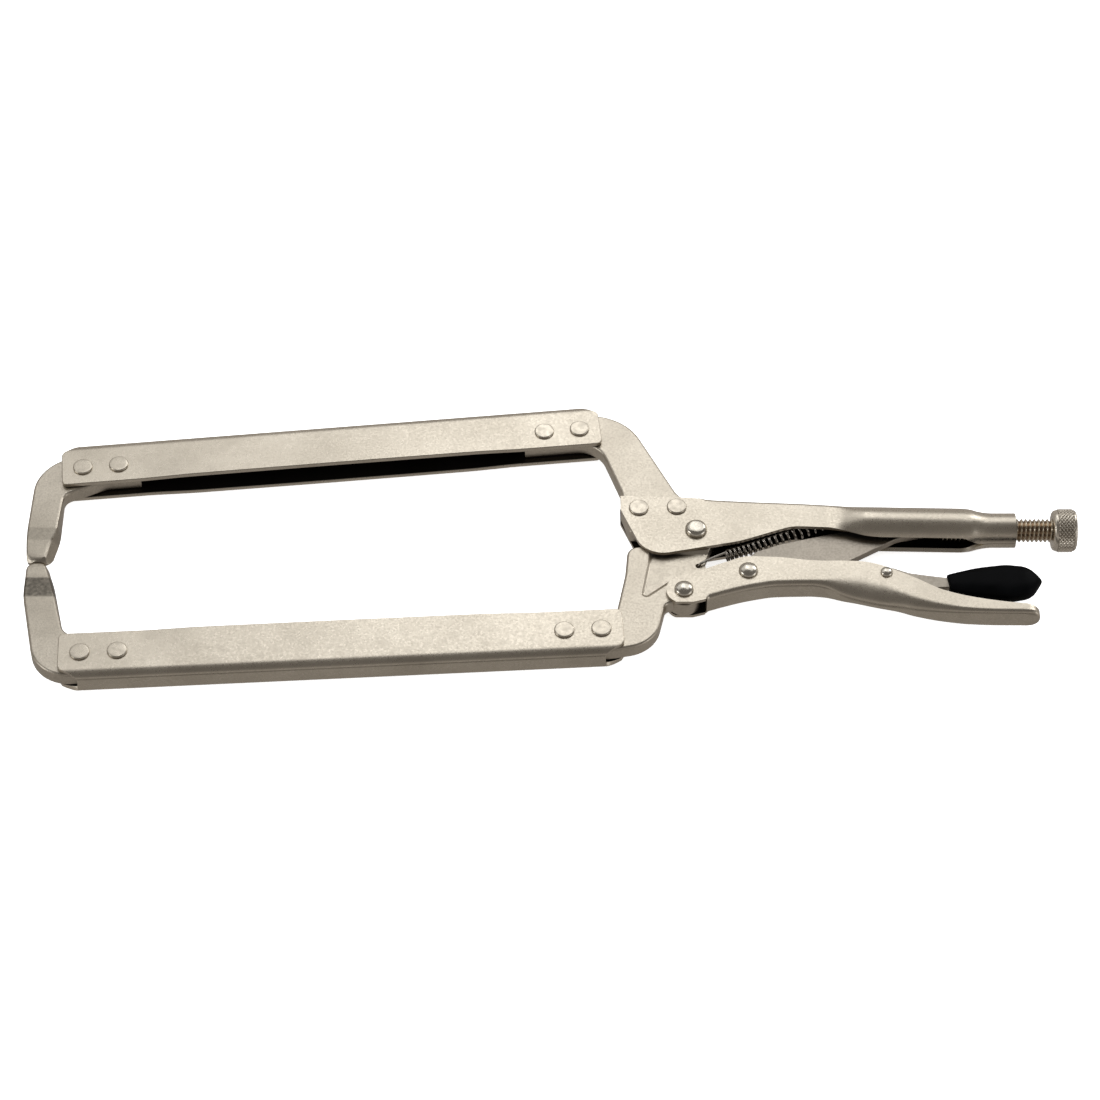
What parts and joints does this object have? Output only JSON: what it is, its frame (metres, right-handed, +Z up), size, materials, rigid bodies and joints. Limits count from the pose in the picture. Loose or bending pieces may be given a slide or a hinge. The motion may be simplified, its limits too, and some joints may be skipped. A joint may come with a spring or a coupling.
{
  "type": "locking c clamp",
  "caption": "Hand-locking C clamp with two long channel-section reach arms, toggle lever handle, release lever and a screw that sets the jaw gap.",
  "frame": {"origin": "centre of the bottom of the clamp's box, lying on its side", "axes": "+X from the jaw tips towards the adjusting knob, +Y towards the fixed arm, +Z up out of the clamp's plane"},
  "size_m": [0.4496, 0.1514, 0.019],
  "materials": {
    "forged_arm": "satin nickel plate over a fine blasted forging",
    "bar_sheet": "satin nickel plate on pressed sheet",
    "handle_sheet": "satin nickel plate on pressed sheet",
    "linkage_plate": "satin nickel plate on stamped plate",
    "rivet_steel": "brighter nickel plate on formed rivet heads",
    "screw_thread": "rolled thread, nickel plate",
    "knob_knurl": "diamond knurl, nickel plate",
    "spring_wire": "oiled spring wire",
    "grip_vinyl": "dipped black vinyl, semi matte"
  },
  "bodies": {
    "frame": {"fixed_handle": "handle_sheet", "upper_arm_root": "forged_arm", "upper_bar": "bar_sheet", "upper_jaw_tip": "forged_arm", "handle_rivet_1": "rivet_steel", "handle_rivet_2": "rivet_steel", "upper_bar_rivet_1": "rivet_steel", "upper_bar_rivet_2": "rivet_steel", "upper_bar_rivet_3": "rivet_steel", "upper_bar_rivet_4": "rivet_steel", "main_pivot_rivet": "rivet_steel", "return_spring": "spring_wire"},
    "moving_jaw": {"moving_jaw_root": "forged_arm", "lower_bar": "bar_sheet", "lower_jaw_tip": "forged_arm", "lower_bar_rivet_1": "rivet_steel", "lower_bar_rivet_2": "rivet_steel", "lower_bar_rivet_3": "rivet_steel", "lower_bar_rivet_4": "rivet_steel", "jaw_pivot_rivet": "rivet_steel"},
    "moving_handle": {"moving_handle": "handle_sheet", "link_pivot_rivet": "rivet_steel", "lever_rivet": "rivet_steel"},
    "toggle_link": {"toggle_link": "linkage_plate"},
    "release_lever": {"release_lever": "linkage_plate", "lever_grip": "grip_vinyl"},
    "adjusting_screw": {"adjusting_screw": "screw_thread"},
    "adjusting_knob": {"adjusting_knob": "knob_knurl"}
  },
  "joints": [
    {"name": "jaw_open", "type": "hinge", "parent": "frame", "child": "moving_jaw", "pos_m": [0.06169, 0.00409, 0.0095], "axis": [0, 0, 1], "range_deg": [0, 20], "deforming": ["return_spring"]},
    {"name": "handle_swing", "type": "hinge", "parent": "moving_jaw", "child": "moving_handle", "pos_m": [0.05569, -0.02881, 0.0095], "axis": [0, 0, 1], "range_deg": [-61.96, 0]},
    {"name": "link_fold", "type": "hinge", "parent": "moving_handle", "child": "toggle_link", "pos_m": [0.08319, -0.01861, 0.0095], "axis": [0, 0, 1], "range_deg": [0, 59.34]},
    {"name": "lever_press", "type": "hinge", "parent": "moving_handle", "child": "release_lever", "pos_m": [0.14159, -0.01961, 0.0095], "axis": [0, 0, 1], "range_deg": [-5, 8]},
    {"name": "screw_advance", "type": "slide", "parent": "frame", "child": "adjusting_screw", "axis": [1, 0, 0], "range_m": [0, 0.0148]},
    {"name": "knob_turn", "type": "hinge", "parent": "adjusting_screw", "child": "adjusting_knob", "pos_m": [0.21969, 0.00819, 0.0095], "axis": [1, 0, 0], "range_deg": [0, 2880.5]}
  ],
  "couplings": [
    {"joint": "handle_swing", "follows": "jaw_open", "ratio": -3.0931},
    {"joint": "link_fold", "follows": "jaw_open", "ratio": 2.9618},
    {"joint": "knob_turn", "follows": "screw_advance", "rad_per_m": 3396.3}
  ]
}
